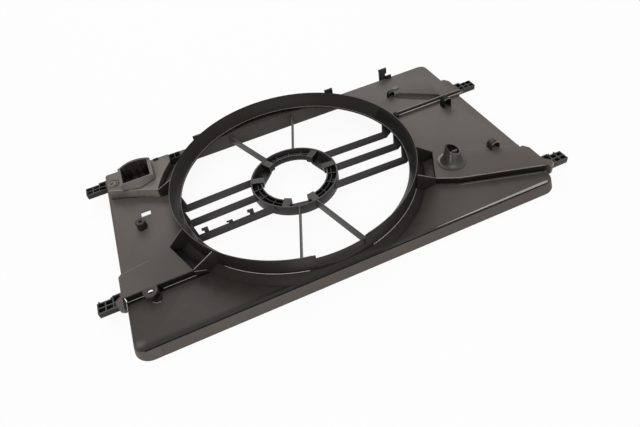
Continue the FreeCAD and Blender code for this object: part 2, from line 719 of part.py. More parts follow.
def bar_bend(y):
    return math.sqrt(DECK_HOLE_R ** 2 - y ** 2) - KINK_FROM_RING


def bar(side, row):
    """Tilted cross bar, its lower edge nearer the front, whose outer end bends back and flattens."""
    y = BAR_MIDDLE_Y + row * BAR_PITCH
    lean = BLADE / 2 * BAR_RUN / math.hypot(BAR_RUN, BAR_DROP)
    z = SPIDER_TOP - lean
    width = point(0, -BAR_RUN, -BAR_DROP)
    start = point(side * bar_start(y), y, z)
    bend = point(side * bar_bend(y), y, z - ARM_DROP)
    which = 0 if side < 0 else 1
    top_turn = math.radians(KINK_TOP_ANGLES[which])
    foot_turn = math.radians(KINK_FOOT_ANGLES[which])
    reach = KINK_FROM_RING * 1.6
    half_turn = (top_turn + foot_turn) / 4
    knee = bend + width + point(side * BAR_RUN * math.tan(half_turn), 0, 0)
    end_top = bend + point(side * reach * math.cos(top_turn), reach * math.sin(top_turn), ARM_DROP)
    end_foot = knee + point(side * reach * math.cos(foot_turn), reach * math.sin(foot_turn), 0)
    along_bar = point(side, 0, 0)
    mitre = point(side * math.cos(half_turn), math.sin(half_turn), 0)
    outward = point(side * math.cos(2 * half_turn), math.sin(2 * half_turn), 0)
    sections = [
        blade_section(start, start + width, along_bar),
        blade_section(bend, knee, mitre, 1 / math.cos(half_turn)),
        blade_section(end_top, end_foot, outward),
    ]
    body = Part.makeLoft(sections, True, True)
    return body.cut(disc(HUB_R, 0, BIG)).cut(tube(DECK_HOLE_R, BIG, 0, BIG))


def arm_top_at(x):
    """Height of the front left bar's upper edge at a place along it."""
    y = BAR_MIDDLE_Y - BAR_PITCH
    start = bar_start(y)
    return SPIDER_TOP - ARM_DROP * (abs(x) - start) / (bar_bend(y) - start)


def wire_clips():
    """Three upright hooks on the front left bar, their feet saddled over the blade."""
    y = BAR_MIDDLE_Y - BAR_PITCH
    clips = []
    for x, height in zip(WIRE_CLIP_XS, WIRE_CLIP_HEIGHTS):
        foot = arm_top_at(x + WIRE_CLIP_WIDTH / 2)
        half = WIRE_CLIP_WIDTH / 2
        top = foot + height
        body = box(x - half + 2.0, x + half, y - BLADE / 2, y + BLADE / 2, foot - 1.5, top)
        head = box(x - half - 1.0, x + half - 1.0, y - BLADE / 2, y + BLADE / 2, top - height * 0.5, top)
        clips.append(fused([body, head]).cut(bar(-1, -1)))
    return clips


# Side tabs


def span_box(xa, xb, y0, y1, z0, z1):
    """Box between two X values given in either order."""
    return box(min(xa, xb), max(xa, xb), y0, y1, z0, z1)


def tab(side, root_x, end_x, middle_y):
    """Flat tongue with two rows of open cells between its ribs, wider at its root."""
    low = DECK_TOP - TAB_THICK
    front = middle_y - TAB_WIDTH / 2
    back = middle_y + TAB_WIDTH / 2
    columns = 3
    rows = 2
    cell_x = (abs(end_x - root_x) - (columns + 1) * RIB) / columns
    cell_y = (TAB_WIDTH - (rows + 1) * RIB) / rows
    shoulder_x = root_x + side * (cell_x + 2 * RIB)
    body = span_box(root_x, end_x, front, back, low, DECK_TOP)
    body = fused([body, span_box(root_x, shoulder_x, back, back + TAB_SHOULDER, low, DECK_TOP)])
    for i in range(columns):
        for j in range(rows):
            a = root_x + side * (RIB + i * (cell_x + RIB))
            c = front + RIB + j * (cell_y + RIB)
            deep = TAB_SHOULDER if i == 0 and j == rows - 1 else 0.0
            body = body.cut(span_box(a, a + side * cell_x, c, c + cell_y + deep, low + RIB, DECK_TOP + 1))
    return body


def gusset_column(side, middle_y):
    """Half-round column beside the front deck's edge, from the deck's underside up to the upper deck."""
    edge = FRONT_LEFT_X if side < 0 else FRONT_RIGHT_X
    column = disc(GUSSET_R, FRONT_TOP - SHEET, DECK_TOP, (edge, middle_y))
    keep = box(-BIG, edge, -BIG, BIG, 0, BIG) if side < 0 else box(edge, BIG, -BIG, BIG, 0, BIG)
    return column.common(keep)


def tab_gusset(side, middle_y):
    """Half-round column that braces a front tab and its ear from below."""
    out, front = (LEFT_X - EAR_OUT_LEFT, STEP_Y) if side < 0 else (RIGHT_X + EAR_OUT_RIGHT, STEP_END_RIGHT[1])
    ear = span_box(out, 0, front, 0, DECK_TOP - SHEET, DECK_TOP)
    return gusset_column(side, middle_y).cut(ear)


# Latch hooks


def latch_hook(x, width, top):
    """Springy tongue behind the back wall with a broad barbed head."""
    y0 = BACK_Y + HOOK_SET_BACK
    y1 = y0 + HOOK_THICK
    foot = HOOK_ROOT_Z + HOOK_GAP
    low = top - HOOK_HEAD_HEIGHT
    stem = box(x - HOOK_HEAD / 2, x - HOOK_HEAD / 2 + width, y0, y1, foot, top)
    head = box(x - HOOK_HEAD / 2, x + HOOK_HEAD / 2, y0, y1, low, top)
    profile = [point(0, y1, top), point(0, y1 + HOOK_BARB, top - HOOK_BARB), point(0, y1, (low + top) / 2)]
    barb = Part.Face(Part.makePolygon(profile + [profile[0]])).extrude(point(HOOK_HEAD, 0, 0))
    barb.translate(point(x - HOOK_HEAD / 2, 0, 0))
    return fused([stem, head, barb])


def hook_stop():
    """Low block on the deck's back edge beside the right-hand hook."""
    x = HOOK_XS[-1] + HOOK_HEAD / 2 - STOP_OVERLAP
    return box(x, x + STOP_LENGTH, BACK_Y - STOP_DEPTH, BACK_Y, DECK_TOP, DECK_TOP + STOP_HEIGHT)


# Fittings on the decks


def screw_boss():
    top = DECK_TOP + BOSS_HEIGHT
    body = disc(BOSS_R, DECK_TOP, top, BOSS_CENTRE)
    body = body.makeFillet(1.0, [e for e in body.Edges if abs(e.CenterOfMass.z - top) < 0.01])
    return body.cut(disc(BOSS_HOLE_R, top - BOSS_HOLE_DEPTH, top + 1, BOSS_CENTRE))


def nut_lug():
    """Round-ended tongue past the step, on two cheeks, that holds a push-on nut."""
    x, y = LUG_CENTRE
    low = DECK_TOP - SHEET
    parts = [box(x - LUG_R, x + LUG_R, y, STEP_Y, low, DECK_TOP), disc(LUG_R, low, DECK_TOP, LUG_CENTRE)]
    for a in (x - LUG_R, x + LUG_R - SHEET):
        parts.append(box(a, a + SHEET, y, STEP_Y, FRONT_TOP, low))
    body = fused(parts).cut(disc(LUG_HOLE_R, 0, BIG, LUG_CENTRE))
    return body.common(box(-BIG, BIG, -BIG, STEP_Y, 0, BIG))


def drain_spout():
    """Hollow cone on the right deck with a flared foot and a slanted mouth."""

    def turned(inset):
        foot = SPOUT_BASE_R - inset
        waist = SPOUT_WAIST_R - inset
        flare = [(foot - (foot - waist) * inward, SPOUT_WAIST_HEIGHT * up) for inward, up in SPOUT_CURVE]
        rings = flare + [(SPOUT_TOP_R - inset, SPOUT_HEIGHT)]
        centre = point(SPOUT_CENTRE[0], SPOUT_CENTRE[1], DECK_TOP)
        cones = [
            Part.makeCone(r0, r1, z1 - z0, centre + point(0, 0, z0))
            for (r0, z0), (r1, z1) in zip(rings, rings[1:])
        ]
        return fused(cones)

    flange = disc(SPOUT_BASE_R + SPOUT_FLANGE, DECK_TOP, DECK_TOP + RIB, SPOUT_CENTRE)
    body = fused([turned(0.0), flange]).cut(turned(SHEET))
    above = box(-BIG, BIG, -BIG, BIG, 0, BIG)
    above.rotate(point(0, 0, 0), point(0, 1, 0), SPOUT_MOUTH_TILT)
    above.rotate(point(0, 0, 0), point(0, 0, 1), SPOUT_MOUTH_FACES)
    above.translate(point(SPOUT_CENTRE[0], SPOUT_CENTRE[1], DECK_TOP + SPOUT_MOUTH_HEIGHT))
    return body.cut(above)


def groove_half(radius):
    """Lower half of a rod lying along the groove's centre line, level with the deck's top."""
    run = point(GROOVE_END[0] - GROOVE_START[0], GROOVE_END[1] - GROOVE_START[1])
    rod = Part.makeCylinder(radius, run.Length, point(GROOVE_START[0], GROOVE_START[1], DECK_TOP), run)
    ends = [Part.makeSphere(radius, point(x, y, DECK_TOP)) for x, y in (GROOVE_START, GROOVE_END)]
    return fused([rod] + ends).common(box(-BIG, BIG, -BIG, BIG, -BIG, DECK_TOP))


def cable_groove():
    """Trough with round ends, sunk in the right deck between two of the harness clips."""
    return groove_half(GROOVE_R + GROOVE_WALL).cut(groove_half(GROOVE_R))


def duct_ribs():
    """Two ribs that guide the harness from the ring to the right back tab."""
    x1 = RIGHT_X + EAR_OUT_RIGHT - 1.0
    top = DECK_TOP + DUCT_HEIGHT
    return [box(DUCT_START_X, x1, y - RIB / 2, y + RIB / 2, DECK_TOP, top) for y in DUCT_RIB_YS]


def arch_prism(x, y, width, depth, height):
    half = width / 2
    front = y - depth / 2
    spring = DECK_TOP + height - half
    foot_left = point(x - half, front, DECK_TOP)
    foot_right = point(x + half, front, DECK_TOP)
    left = point(x - half, front, spring)
    right = point(x + half, front, spring)
    crown = point(x, front, DECK_TOP + height)
    edges = [
        Part.makeLine(foot_left, left),
        Part.Arc(left, crown, right).toShape(),
        Part.makeLine(right, foot_right),
        Part.makeLine(foot_right, foot_left),
    ]
    return Part.Face(Part.Wire(edges)).extrude(point(0, depth, 0))


def arched_clip(centre, size):
    """Hooded clip: an arch with a closed back and an open mouth towards the front."""
    x, y = centre
    width, depth, height = size
    mouth = arch_prism(x, y - RIB, width - 2 * RIB, depth, height - RIB)
    return arch_prism(x, y, width, depth, height).cut(mouth)


def all_nodes():
    tab_left = tab(-1, LEFT_X - EAR_OUT_LEFT, TAB_END_LEFT - TAB_EXTRA_LEFT_FRONT, TAB_LEFT_FRONT_Y)
    tab_right = tab(1, RIGHT_X + EAR_OUT_RIGHT, TAB_END_RIGHT, TAB_RIGHT_FRONT_Y)
    nodes = {
        "fan_ring": fan_ring(),
        "ring_collar": ring_collar(),
        "left_deck": left_deck(),
        "right_deck": right_deck(),
        "front_deck": front_deck(),
        "front_skirt": front_skirt(FRONT_LEFT_X + SKIRT_CORNER_RUN, FRONT_RIGHT_X - SKIRT_CORNER_RUN),
        "skirt_corner_left": front_skirt(-BIG, FRONT_LEFT_X + SKIRT_CORNER_RUN),
        "skirt_corner_right": front_skirt(FRONT_RIGHT_X - SKIRT_CORNER_RUN, BIG),
        "back_wall": back_wall(),
        "left_wall": left_wall(),
        "right_wall": right_wall(),
        "left_step": left_step(),
        "right_step": right_step(),
        "left_pocket_webs": left_pocket_webs(),
        "right_pocket_webs": right_pocket_webs(),
        "platform_web": platform_web(),
        "platform": platform(),
        "resistor_housing": resistor_housing(),
        "housing_ribs": housing_ribs(),
        "platform_screw_ear": screw_ear(),
        "edge_socket": edge_socket(),
        "motor_mount": motor_mount(),
        "wire_clips": wire_clips(),
        "tab_left_front": tab_left.cut(gusset_column(-1, TAB_LEFT_FRONT_Y - GUSSET_SHIFT)),
        "tab_left_back": tab(-1, LEFT_X, TAB_END_LEFT, TAB_LEFT_BACK_Y),
        "tab_right_front": tab_right.cut(gusset_column(1, TAB_RIGHT_FRONT_Y - GUSSET_SHIFT)),
        "tab_right_back": tab(1, RIGHT_X + EAR_OUT_RIGHT, TAB_END_RIGHT, TAB_RIGHT_BACK_Y),
        "tab_gusset_left": tab_gusset(-1, TAB_LEFT_FRONT_Y - GUSSET_SHIFT),
        "tab_gusset_right": tab_gusset(1, TAB_RIGHT_FRONT_Y - GUSSET_SHIFT),
        "hook_stop": hook_stop(),
        "screw_boss": screw_boss(),
        "nut_lug": nut_lug(),
        "drain_spout": drain_spout(),
        "cable_groove": cable_groove(),
        "duct_ribs": duct_ribs(),
        "harness_clip_inner": arched_clip(INNER_CLIP, INNER_CLIP_SIZE),
        "harness_clip_outer": arched_clip(OUTER_CLIP, OUTER_CLIP_SIZE),
        "harness_clip_small": arched_clip(SMALL_CLIP, SMALL_CLIP_SIZE),
    }
    for place, angles in zip(("back_right", "back_left", "front_left", "front_right"), SPOKE_ANGLES):
        nodes["spoke_" + place] = spoke(*angles)
    for place, x, width, top in zip(("left", "middle", "right"), HOOK_XS, HOOK_WIDTHS, HOOK_TOPS):
        nodes["latch_hook_" + place] = latch_hook(x, width, top)
    for side, word in ((-1, "left"), (1, "right")):
        for row, place in ((-1, "front"), (0, "middle"), (1, "back")):
            nodes["bar_%s_%s" % (word, place)] = bar(side, row)
    return nodes


def main():
    os.makedirs("parts", exist_ok=True)
    for name, shape in all_nodes().items():
        if isinstance(shape, list):
            shape = Part.makeCompound([solid for body in shape for solid in body.Solids])
        elif len(shape.Solids) == 1:
            shape = shape.Solids[0]
        shape.exportStep("parts/" + name + ".step")


main()
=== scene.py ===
import math

import bpy
import numpy as np
from mathutils import Matrix, Vector

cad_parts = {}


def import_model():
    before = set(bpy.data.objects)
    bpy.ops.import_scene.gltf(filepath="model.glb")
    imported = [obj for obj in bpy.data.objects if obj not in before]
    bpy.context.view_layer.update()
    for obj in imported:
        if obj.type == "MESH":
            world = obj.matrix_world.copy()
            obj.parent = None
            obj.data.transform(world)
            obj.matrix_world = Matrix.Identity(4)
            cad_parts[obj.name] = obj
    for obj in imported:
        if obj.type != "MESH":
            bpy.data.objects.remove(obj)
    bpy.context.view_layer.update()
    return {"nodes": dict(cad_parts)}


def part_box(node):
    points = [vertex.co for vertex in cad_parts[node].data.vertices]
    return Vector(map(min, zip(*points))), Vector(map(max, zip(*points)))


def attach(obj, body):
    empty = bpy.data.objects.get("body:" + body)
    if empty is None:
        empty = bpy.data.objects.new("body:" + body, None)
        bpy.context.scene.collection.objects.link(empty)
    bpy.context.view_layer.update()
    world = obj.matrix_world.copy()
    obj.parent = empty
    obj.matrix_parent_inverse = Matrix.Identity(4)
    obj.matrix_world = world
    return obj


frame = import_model()
NODES = frame["nodes"]

MM = 0.001

# Camera, fitted to the photograph of 640 by 427 pixels
CAMERA_AT = (-0.1318, -0.6257, 0.5799)
CAMERA_TARGET = (0.0050, -0.1008, 0.0290)
CAMERA_ROLL = math.radians(-11.0)
FOCAL_PIXELS = 509.6
PICTURE_WIDTH = 640
SENSOR_MM = 36.0


# Materials: one moulded plastic in several tones, with painted shade and painted highlights over parts of
# some pieces, tabs whose cells are darkened with painted shade, and a black plastic

FLOW_SCALE = 14.0
SPARK_SCALE = 1400.0


def node_of(tree, kind, **values):
    node = tree.nodes.new(kind)
    for key, value in values.items():
        if hasattr(node, key):
            setattr(node, key, value)
        else:
            node.inputs[key].default_value = value
    return node


def ramp(tree, value, limit, soft, rising):
    """Share from 0 to 1 that a value has passed a limit, in millimetres, with a soft border."""
    step = node_of(tree, "ShaderNodeMapRange", clamp=True)
    step.inputs["From Min"].default_value = (limit - soft) * MM
    step.inputs["From Max"].default_value = (limit + soft) * MM
    step.inputs["To Min"].default_value = 0.0 if rising else 1.0
    step.inputs["To Max"].default_value = 1.0 if rising else 0.0
    tree.links.new(value, step.inputs["Value"])
    return step.outputs["Result"]


def times(tree, first, second):
    product = node_of(tree, "ShaderNodeMath", operation="MULTIPLY")
    tree.links.new(first, product.inputs[0])
    tree.links.new(second, product.inputs[1])
    return product.outputs[0]


def toned(tree, place, colour, zone):
    """Colour multiplied by the zone's share inside it.

    A zone is bounded along the axes and by a radius round a centre, in millimetres, with a soft border.
    """
    soft = zone.get("soft", 0.3)
    parts = tree.nodes.new("ShaderNodeSeparateXYZ")
    tree.links.new(place.outputs["Object"], parts.inputs["Vector"])
    masks = []
    for axis in "XYZ":
        for word, rising in (("_above", True), ("_below", False)):
            if axis + word in zone:
                masks.append(ramp(tree, parts.outputs[axis], zone[axis + word], soft, rising))
    if "radius" in zone:
        x, y = zone.get("centre", (0.0, 0.0))
        away = node_of(tree, "ShaderNodeVectorMath", operation="SUBTRACT")
        tree.links.new(place.outputs["Object"], away.inputs[0])
        away.inputs[1].default_value = (x * MM, y * MM, 0.0)
        flat = node_of(tree, "ShaderNodeVectorMath", operation="MULTIPLY")
        tree.links.new(away.outputs["Vector"], flat.inputs[0])
        flat.inputs[1].default_value = (1.0, 1.0, 0.0)
        size = node_of(tree, "ShaderNodeVectorMath", operation="LENGTH")
        tree.links.new(flat.outputs["Vector"], size.inputs[0])
        masks.append(ramp(tree, size.outputs["Value"], zone["radius"], soft, False))
    mask = masks[0]
    for other in masks[1:]:
        mask = times(tree, mask, other)
    share = zone["share"]
    mix = node_of(tree, "ShaderNodeMix", data_type="RGBA", blend_type="MULTIPLY")
    tree.links.new(mask, mix.inputs["Factor"])
    tree.links.new(colour, mix.inputs[6])
    mix.inputs[7].default_value = (share, share, share, 1.0)
    return mix.outputs[2]


def moulded(name, colour, roughness, grain, mottle, specular=0.3, zones=()):
    """Moulded plastic: a fine spark-eroded grain, slow flow marks in colour and roughness.

    The grain is the bump's strength, the mottle is the share by which the colour varies.
    """
    material = bpy.data.materials.new(name)
    material.use_nodes = True
    tree = material.node_tree
    shader = tree.nodes["Principled BSDF"]
    shader.inputs["Specular IOR Level"].default_value = specular
    place = tree.nodes.new("ShaderNodeTexCoord")

    flow = node_of(tree, "ShaderNodeTexNoise", Scale=FLOW_SCALE, Detail=3.0, Roughness=0.55)
    tree.links.new(place.outputs["Object"], flow.inputs["Vector"])
    tint = node_of(tree, "ShaderNodeValToRGB")
    tint.color_ramp.elements[0].position = 0.3
    tint.color_ramp.elements[1].position = 0.7
    tint.color_ramp.elements[0].color = [c * (1 - mottle) for c in colour] + [1.0]
    tint.color_ramp.elements[1].color = [c * (1 + mottle) for c in colour] + [1.0]
    tree.links.new(flow.outputs["Fac"], tint.inputs["Fac"])
    tone = tint.outputs["Color"]
    # The zones darken or lighten parts of a piece: painted shade and painted highlights, besides one gate
    # mark
    for zone in zones:
        tone = toned(tree, place, tone, zone)
    tree.links.new(tone, shader.inputs["Base Color"])

    spread = node_of(tree, "ShaderNodeMapRange")
    spread.inputs["To Min"].default_value = roughness - 0.05
    spread.inputs["To Max"].default_value = roughness + 0.05
    tree.links.new(flow.outputs["Fac"], spread.inputs["Value"])
    tree.links.new(spread.outputs["Result"], shader.inputs["Roughness"])

    spark = node_of(tree, "ShaderNodeTexNoise", Scale=SPARK_SCALE, Detail=2.0, Roughness=0.6)
    tree.links.new(place.outputs["Object"], spark.inputs["Vector"])
    bump = node_of(tree, "ShaderNodeBump", Strength=grain, Distance=0.0003)
    tree.links.new(spark.outputs["Fac"], bump.inputs["Height"])
    tree.links.new(bump.outputs["Normal"], shader.inputs["Normal"])
    return material


DECK_GREY = (0.099, 0.083, 0.074)
FRONT_GREY = (0.058, 0.050, 0.044)
PLATFORM_GREY = (0.150, 0.133, 0.116)
RING_GREY = (0.0225, 0.0190, 0.0180)
ARM_GREY = (0.036, 0.032, 0.032)
SPOKE_GREY = (0.062, 0.058, 0.054)
SHADE_GREY = (0.011, 0.009, 0.008)
HUB_GREY = (0.060, 0.050, 0.049)
SPOUT_GREY = (0.072, 0.064, 0.058)
BOSS_BROWN = (0.024, 0.017, 0.014)
GROOVE_GREY = (0.058, 0.049, 0.043)
TAB_GREY = (0.075, 0.071, 0.068)
# Dark grey of the sheets that paint shade inside the resistor's well
WELL_SHADE_GREY = (0.030, 0.025, 0.025)
TAB_BLACK = (0.016, 0.016, 0.017)

# Painted shade and painted highlights that change over a piece: darker beside the ring, towards the front of
# the left deck, in the pockets, hollows and cells, lighter at some ends and glare spots; and a darker gate
# mark

MOAT_R = 226.5
# Painted shade on the left deck: behind the platform, beside the ring and towards its front
BEHIND_PLATFORM = {"radius": 230, "Y_above": 66, "share": 0.8, "soft": 2.0}
BESIDE_RING = {"radius": 206, "share": 0.7, "soft": 5.0}
LEFT_DECK_FOOT = {"X_above": -262, "Y_below": -40, "share": 0.66, "soft": 32.0}
LEFT_DECK_ZONES = (BEHIND_PLATFORM, BESIDE_RING, LEFT_DECK_FOOT)
# Front deck: painted shade in the pockets, at the left end, above the skirt and round the collar; painted
# highlight at the right end and a painted glare on the left corner
LEFT_POCKET = {"Y_above": -119, "X_below": 0, "share": 0.12, "soft": 1.0}
RIGHT_POCKET = {"Y_above": -119, "X_above": 0, "share": 0.75, "soft": 1.0}
FRONT_LEFT_END = {"X_below": -90, "share": 0.84, "soft": 40.0}
FRONT_RIGHT_END = {"X_above": 190, "share": 1.22, "soft": 40.0}
ABOVE_SKIRT = {"Y_below": -194, "X_below": 60, "share": 0.5, "soft": 3.0}
AROUND_COLLAR = {"radius": 228, "Y_below": -100, "share": 0.5, "soft": 40.0}
GATE_MARK = {"centre": (269, -167), "radius": 7, "share": 0.82, "soft": 3.0}
CORNER_GLARE = {"centre": (-292, -192), "radius": 6, "share": 2.2, "soft": 4.0}
FRONT_ZONES = (
    LEFT_POCKET,
    RIGHT_POCKET,
    FRONT_LEFT_END,
    FRONT_RIGHT_END,
    ABOVE_SKIRT,
    AROUND_COLLAR,
    GATE_MARK,
    CORNER_GLARE,
)
# Painted shade on the platform's curved wall by the moat and on its right top, and a painted highlight on
# its front band
MOAT_WALL = {"radius": MOAT_R, "Z_below": 44.6, "share": 0.4}
PLATFORM_BAND = {"X_above": -264, "Y_below": 104, "Z_below": 44.0, "share": 1.45, "soft": 3.0}
PLATFORM_RIGHT = {"X_above": -228, "Z_above": 44.6, "share": 0.86, "soft": 8.0}
PLATFORM_ZONES = (MOAT_WALL, PLATFORM_BAND, PLATFORM_RIGHT)
# Painted shade in the ring's throat and on the right of its mouth; lighter beside the notch
THROAT = {"radius": 191, "Z_below": 35.6, "share": 0.3}
MOUTH_RIGHT = {"radius": 198, "X_above": 132, "Y_above": -150, "Y_below": 60, "share": 0.3, "soft": 2.0}
BESIDE_NOTCH = {"X_above": -72, "X_below": -36, "Y_below": -150, "Z_above": 40, "share": 1.9, "soft": 8.0}
RING_ZONES = (THROAT, MOUTH_RIGHT, BESIDE_NOTCH)
# Painted shade in the motor mount's cells and along its foot
HUB_CELLS = {"radius": 70.3, "Z_below": 28.6, "share": 0.22}
HUB_FOOT = {"Z_below": 28.9, "share": 0.5}
HUB_ZONES = (HUB_CELLS, HUB_FOOT)
# Painted shade in the spout's bore and on its left side
SPOUT_BORE = {"centre": (235, -100), "radius": 10.6, "share": 0.12}
SPOUT_LEFT = {"X_below": 226, "share": 0.75, "soft": 4.0}
SPOUT_ZONES = (SPOUT_BORE, SPOUT_LEFT)
# Painted shade in the tabs' cells, so that the grey tabs look black
TAB_CELLS = {"Z_below": 27.8, "share": 0.18}
TAB_ZONES = (TAB_CELLS,)

deck_plastic = moulded("deck_plastic", DECK_GREY, 0.52, 0.25, 0.05)
left_deck_plastic = moulded("left_deck_plastic", DECK_GREY, 0.52, 0.25, 0.05, 0.3, LEFT_DECK_ZONES)
front_plastic = moulded("front_plastic", FRONT_GREY, 0.50, 0.25, 0.06, 0.25, FRONT_ZONES)
wall_plastic = moulded("wall_plastic", FRONT_GREY, 0.50, 0.25, 0.06, 0.25)
ring_plastic = moulded("ring_plastic", RING_GREY, 0.48, 0.12, 0.06, 0.16, RING_ZONES)
boss_plastic = moulded("boss_plastic", BOSS_BROWN, 0.42, 0.15, 0.08)
groove_plastic = moulded("groove_plastic", GROOVE_GREY, 0.50, 0.20, 0.05)
arm_plastic = moulded("arm_plastic", ARM_GREY, 0.45, 0.15, 0.05)
spoke_plastic = moulded("spoke_plastic", SPOKE_GREY, 0.45, 0.15, 0.05)
platform_plastic = moulded("platform_plastic", PLATFORM_GREY, 0.50, 0.22, 0.05, 0.25, PLATFORM_ZONES)
light_plastic = moulded("light_plastic", PLATFORM_GREY, 0.50, 0.22, 0.05, 0.25)
hub_plastic = moulded("hub_plastic", HUB_GREY, 0.45, 0.15, 0.05, 0.3, HUB_ZONES)
spout_plastic = moulded("spout_plastic", SPOUT_GREY, 0.27, 0.05, 0.04, 0.5, SPOUT_ZONES)
shaded_plastic = moulded("shaded_plastic", SHADE_GREY, 0.55, 0.15, 0.10, 0.12)
well_shade_plastic = moulded("well_shade_plastic", WELL_SHADE_GREY, 0.50, 0.15, 0.10, 0.2)
tab_plastic = moulded("tab_plastic", TAB_GREY, 0.42, 0.15, 0.05, 0.3, TAB_ZONES)
black_plastic = moulded("black_plastic", TAB_BLACK, 0.42, 0.15, 0.05)
# Light greys of painted highlights along edges: a bright one and a soft one
painted_highlight = moulded("painted_highlight", (0.40, 0.375, 0.35), 0.35, 0.05, 0.10)
painted_soft_highlight = moulded("painted_soft_highlight", (0.30, 0.28, 0.26), 0.40, 0.05, 0.12)
# Light greys for thin painted highlight lines on rims, creases, lips and feet; line_grey also colours the
# band ribs and the spout's divider
line_grey = moulded("line_grey", (0.18, 0.168, 0.155), 0.45, 0.05, 0.12)
rim_grey = moulded("rim_grey", (0.10, 0.09, 0.083), 0.42, 0.05, 0.10)

FINISHES = (
    (ring_plastic, ("fan_ring", "ring_collar", "left_pocket_webs", "right_pocket_webs", "platform_web")),
    (front_plastic, ("front_deck",)),
    (wall_plastic, ("nut_lug", "back_wall")),
    (left_deck_plastic, ("left_deck",)),
    (spout_plastic, ("drain_spout",)),
    (platform_plastic, ("platform", "platform_screw_ear")),
    (light_plastic, ("resistor_housing",)),
    (shaded_plastic, ("left_step", "right_step", "housing_ribs", "harness_clip_outer")),
    (shaded_plastic, ("harness_clip_inner", "left_wall", "right_wall")),
    (groove_plastic, ("cable_groove",)),
    (boss_plastic, ("screw_boss", "harness_clip_small")),
    (hub_plastic, ("motor_mount",)),
    (arm_plastic, ("wire_clips",)),
    (black_plastic, ("edge_socket", "hook_stop")),
)
FINISH_BY_START = (("tab_gusset", deck_plastic), ("tab_", tab_plastic), ("spoke", spoke_plastic),
                   ("bar_", arm_plastic), ("latch_hook", arm_plastic))


def finish_of(name):
    for start, material in FINISH_BY_START:
        if name.startswith(start):
            return material
    for material, names in FINISHES:
        if name in names:
            return material
    return deck_plastic


def put_material(piece, material):
    piece.data.materials.clear()
    piece.data.materials.append(material)


def soften(piece, width):
    """Small rounding on the sharp edges of a CAD solid, as every moulded edge has."""
    weld = piece.modifiers.new("weld", "WELD")
    weld.merge_threshold = 1e-5
    flat = piece.modifiers.new("flat", "DECIMATE")
    flat.decimate_type = "DISSOLVE"
    flat.angle_limit = math.radians(0.4)
    bevel = piece.modifiers.new("bevel", "BEVEL")
    bevel.width = width
    bevel.segments = 2
    bevel.limit_method = "ANGLE"
    bevel.angle_limit = math.radians(38)
    bevel.harden_normals = True


for name, piece in NODES.items():
    put_material(piece, finish_of(name))
    for polygon in piece.data.polygons:
        polygon.use_smooth = True
    soften(piece, 0.5 * MM)


# Shapes made here: surfaces as whole arrays of points

BEAD_SIDES = 10

# Radii of the beads that draw the fine lines, in millimetres

HAIR = 0.45
FINE = 0.5
EDGE = 0.55
BROAD = 0.6
HEAVY = 0.8


def show(name, vertices, faces, material, smooth=True):
    mesh = bpy.data.meshes.new(name)
    mesh.from_pydata(vertices.tolist(), [], faces)
    mesh.polygons.foreach_set("use_smooth", np.full(len(mesh.polygons), smooth))
    mesh.update()
    made = bpy.data.objects.new(name, mesh)
    bpy.context.scene.collection.objects.link(made)
    made.data.materials.append(material)
    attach(made, "shroud")
    return made


def grid_faces(rows, columns, closed):
    """Quads between neighbouring rows of points.

    Each row is a ring of points, and closed joins the last row to the first.
    """
    here = np.arange(rows if closed else rows - 1)[:, None] * columns
    after = (here + columns) % (rows * columns)
    j = np.arange(columns)[None, :]
    j2 = (j + 1) % columns
    quads = np.stack(np.broadcast_arrays(here + j, here + j2, after + j2, after + j), -1)
    return quads.reshape(-1, 4).tolist()


def bead(name, path, radius, material, closed=False):
    """Round bead along a path, in millimetres, whose radius may change along it.

    Around each point p of the path its skin is p + radius * (cos(a) * side + sin(a) * upper), where side is
    level and at right angles to the run of the path, and upper is at right angles to both.
    """
    points = np.asarray(path, float) * MM
    if closed:
        run = np.roll(points, -1, 0) - np.roll(points, 1, 0)
    else:
        run = np.gradient(points, axis=0)
    run /= np.linalg.norm(run, axis=1)[:, None]
    side = np.cross(run, (0.0, 0.0, 1.0))
    side /= np.linalg.norm(side, axis=1)[:, None]
    upper = np.cross(side, run)
    turn = np.linspace(0, 2 * np.pi, BEAD_SIDES, endpoint=False)[None, :, None]
    size = np.broadcast_to(radius, len(points))[:, None, None] * MM
    rings = points[:, None] + size * (np.cos(turn) * side[:, None] + np.sin(turn) * upper[:, None])
    count = len(points)
    faces = [face[::-1] for face in grid_faces(count, BEAD_SIDES, closed)]
    if not closed:
        last = BEAD_SIDES * (count - 1)
        faces += [list(range(BEAD_SIDES)), list(range(last, last + BEAD_SIDES))[::-1]]
    return show(name, rings.reshape(-1, 3), faces, material)


def plate(name, plan, low, high, material, edge=0.3):
    """Upright prism over a plan given anticlockwise in millimetres."""
    plan = np.asarray(plan, float)
    count = len(plan)
    bottom = np.c_[plan, np.full(count, low)]
    top = np.c_[plan, np.full(count, high)]
    ring = np.arange(count)
    after = (ring + 1) % count
    sides = np.c_[ring, after, after + count, ring + count].tolist()
    faces = sides + [ring[::-1].tolist(), (ring + count).tolist()]
    made = show(name, np.r_[bottom, top] * MM, faces, material, False)
    if edge:
        soft = made.modifiers.new("bevel", "BEVEL")
        soft.width = edge * MM
        soft.segments = 2
        soft.limit_method = "ANGLE"
    return made


def circle(centre, radius, start=0.0, end=360.0, steps=64):
    """Points at a radius round a centre, from the start angle to the end angle in degrees."""
    turn = np.radians(np.linspace(start, end, steps, endpoint=abs(end - start) < 359.9))
    return np.c_[centre[0] + radius * np.cos(turn), centre[1] + radius * np.sin(turn)]


def at_height(plan, height):
    """The plan's points at a height, which may change along them."""
    plan = np.asarray(plan, float)
    return np.c_[plan, np.broadcast_to(height, len(plan))]


def line(*corners, steps=12):
    """Evenly spaced points along straight pieces between the corners."""
    corners = np.asarray(corners, float)
    share = np.linspace(0, len(corners) - 1, steps * (len(corners) - 1) + 1)
    index = np.minimum(share.astype(int), len(corners) - 2)
    rest = (share - index)[:, None]
    return corners[index] * (1 - rest) + corners[index + 1] * rest


